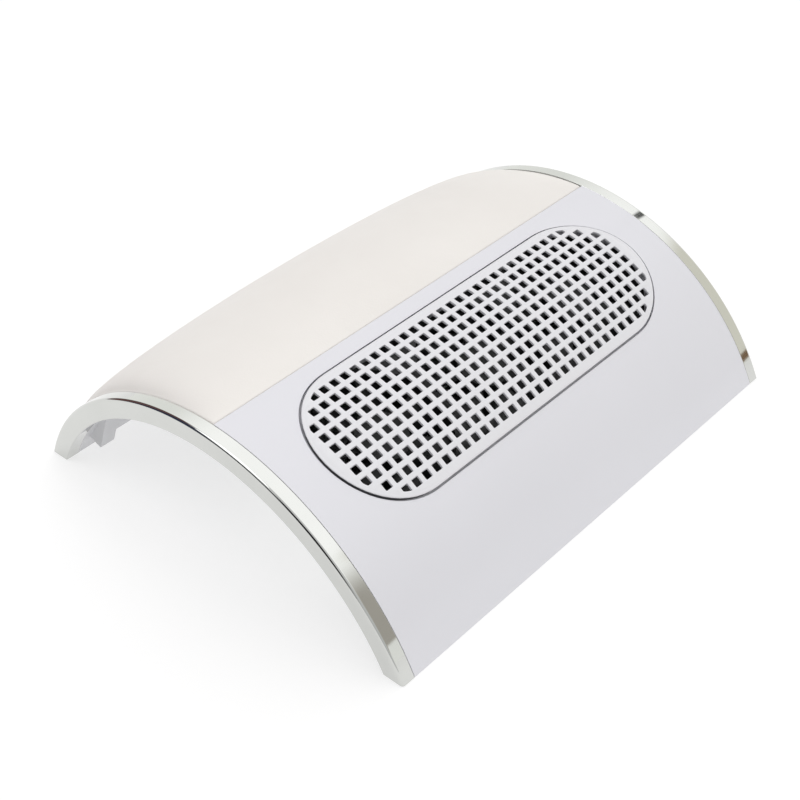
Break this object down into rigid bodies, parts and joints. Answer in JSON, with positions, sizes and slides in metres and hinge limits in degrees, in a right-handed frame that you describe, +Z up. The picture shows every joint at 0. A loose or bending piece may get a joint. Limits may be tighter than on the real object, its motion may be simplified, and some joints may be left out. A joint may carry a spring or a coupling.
{
  "type": "nail dust collector",
  "caption": "Arched tabletop dust collector with a padded hand rest, a racetrack intake grille, plated end frames, axial fans beneath and a pull-off dust bag.",
  "frame": {"origin": "on the table, under the centre of the arch", "axes": "+X across the width to the right as the user of the grille side sees it, +Y from the grille side to the padded side, +Z up"},
  "size_m": [0.317, 0.2694, 0.0928],
  "materials": {
    "shell_white": "smooth satin moulding",
    "liner_white": "fine moulded texture",
    "trim_chrome": "plated mirror finish",
    "grille_white": "smooth satin moulding",
    "pad_leather": "soft smooth synthetic leather",
    "pad_foam": "open-cell foam",
    "board_grey": "moulded",
    "fan_black": "moulded",
    "duct_black": "fine moulded texture",
    "steel": "zinc plated",
    "core_steel": "laminated",
    "copper": "enamelled wire",
    "rubber_black": "matt",
    "board_green": "solder mask",
    "parts_black": "moulded",
    "contact_brass": "plated",
    "switch_black": "polished moulding",
    "wire_black": "smooth sheath",
    "bag_fabric": "non-woven cloth",
    "elastic_white": "woven elastic"
  },
  "bodies": {
    "housing": {"upper_shell": "shell_white", "lower_shell": "liner_white", "left_trim": "trim_chrome", "right_trim": "trim_chrome", "rubber_feet": "rubber_black", "hand_rest_board": "board_grey", "cushion_foam": "pad_foam", "cushion_cover": "pad_leather", "fan_carrier": "duct_black", "duct_gasket": "rubber_black", "fan_screws": "steel", "carrier_screws": "steel", "shell_screws": "steel", "pad_screws": "steel", "box_screws": "steel", "power_box": "liner_white", "box_lid": "liner_white", "lid_screws": "steel", "control_board": "board_green", "board_screws": "steel", "board_parts": "parts_black", "power_inlet": "switch_black", "inlet_pin": "contact_brass", "inlet_nut": "contact_brass", "switch_housing": "switch_black", "switch_terminals": "contact_brass", "fan_leads": "wire_black", "fan_cable": "wire_black", "cable_clips": "liner_white", "cable_grommet": "rubber_black", "board_leads": "wire_black", "fan_frame_left": "fan_black", "fan_bearings_left": "steel", "fan_stator_left": "core_steel", "fan_coils_left": "copper", "fan_frame_middle": "fan_black", "fan_bearings_middle": "steel", "fan_stator_middle": "core_steel", "fan_coils_middle": "copper", "fan_frame_right": "fan_black", "fan_bearings_right": "steel", "fan_stator_right": "core_steel", "fan_coils_right": "copper"},
    "grille": {"intake_grille": "grille_white"},
    "bag": {"dust_bag": "bag_fabric", "bag_elastic": "elastic_white"},
    "rocker": {"switch_rocker": "switch_black"},
    "rotor_left": {"fan_impeller_left": "fan_black", "fan_rotor_ring_left": "steel", "fan_shaft_left": "steel"},
    "rotor_middle": {"fan_impeller_middle": "fan_black", "fan_rotor_ring_middle": "steel", "fan_shaft_middle": "steel"},
    "rotor_right": {"fan_impeller_right": "fan_black", "fan_rotor_ring_right": "steel", "fan_shaft_right": "steel"}
  },
  "joints": [
    {"name": "fan_spin_left", "type": "hinge", "parent": "housing", "child": "rotor_left", "pos_m": [-0.08, -0.04847, 0.05301], "axis": [0, -0.3957, 0.9184], "continuous": true},
    {"name": "fan_spin_middle", "type": "hinge", "parent": "housing", "child": "rotor_middle", "pos_m": [0, -0.04847, 0.05301], "axis": [0, -0.3957, 0.9184], "continuous": true},
    {"name": "fan_spin_right", "type": "hinge", "parent": "housing", "child": "rotor_right", "pos_m": [0.08, -0.04847, 0.05301], "axis": [0, -0.3957, 0.9184], "continuous": true},
    {"name": "grille_lift", "type": "slide", "parent": "housing", "child": "grille", "axis": [0, -0.3957, 0.9184], "range_m": [0, 0.03]},
    {"name": "bag_pull", "type": "slide", "parent": "housing", "child": "bag", "axis": [0, 0.3957, -0.9184], "range_m": [0, 0.01]},
    {"name": "switch_rock", "type": "hinge", "parent": "housing", "child": "rocker", "pos_m": [0.144, 0.076, 0.034], "axis": [0, -1, 0], "range_deg": [0, 24]}
  ]
}
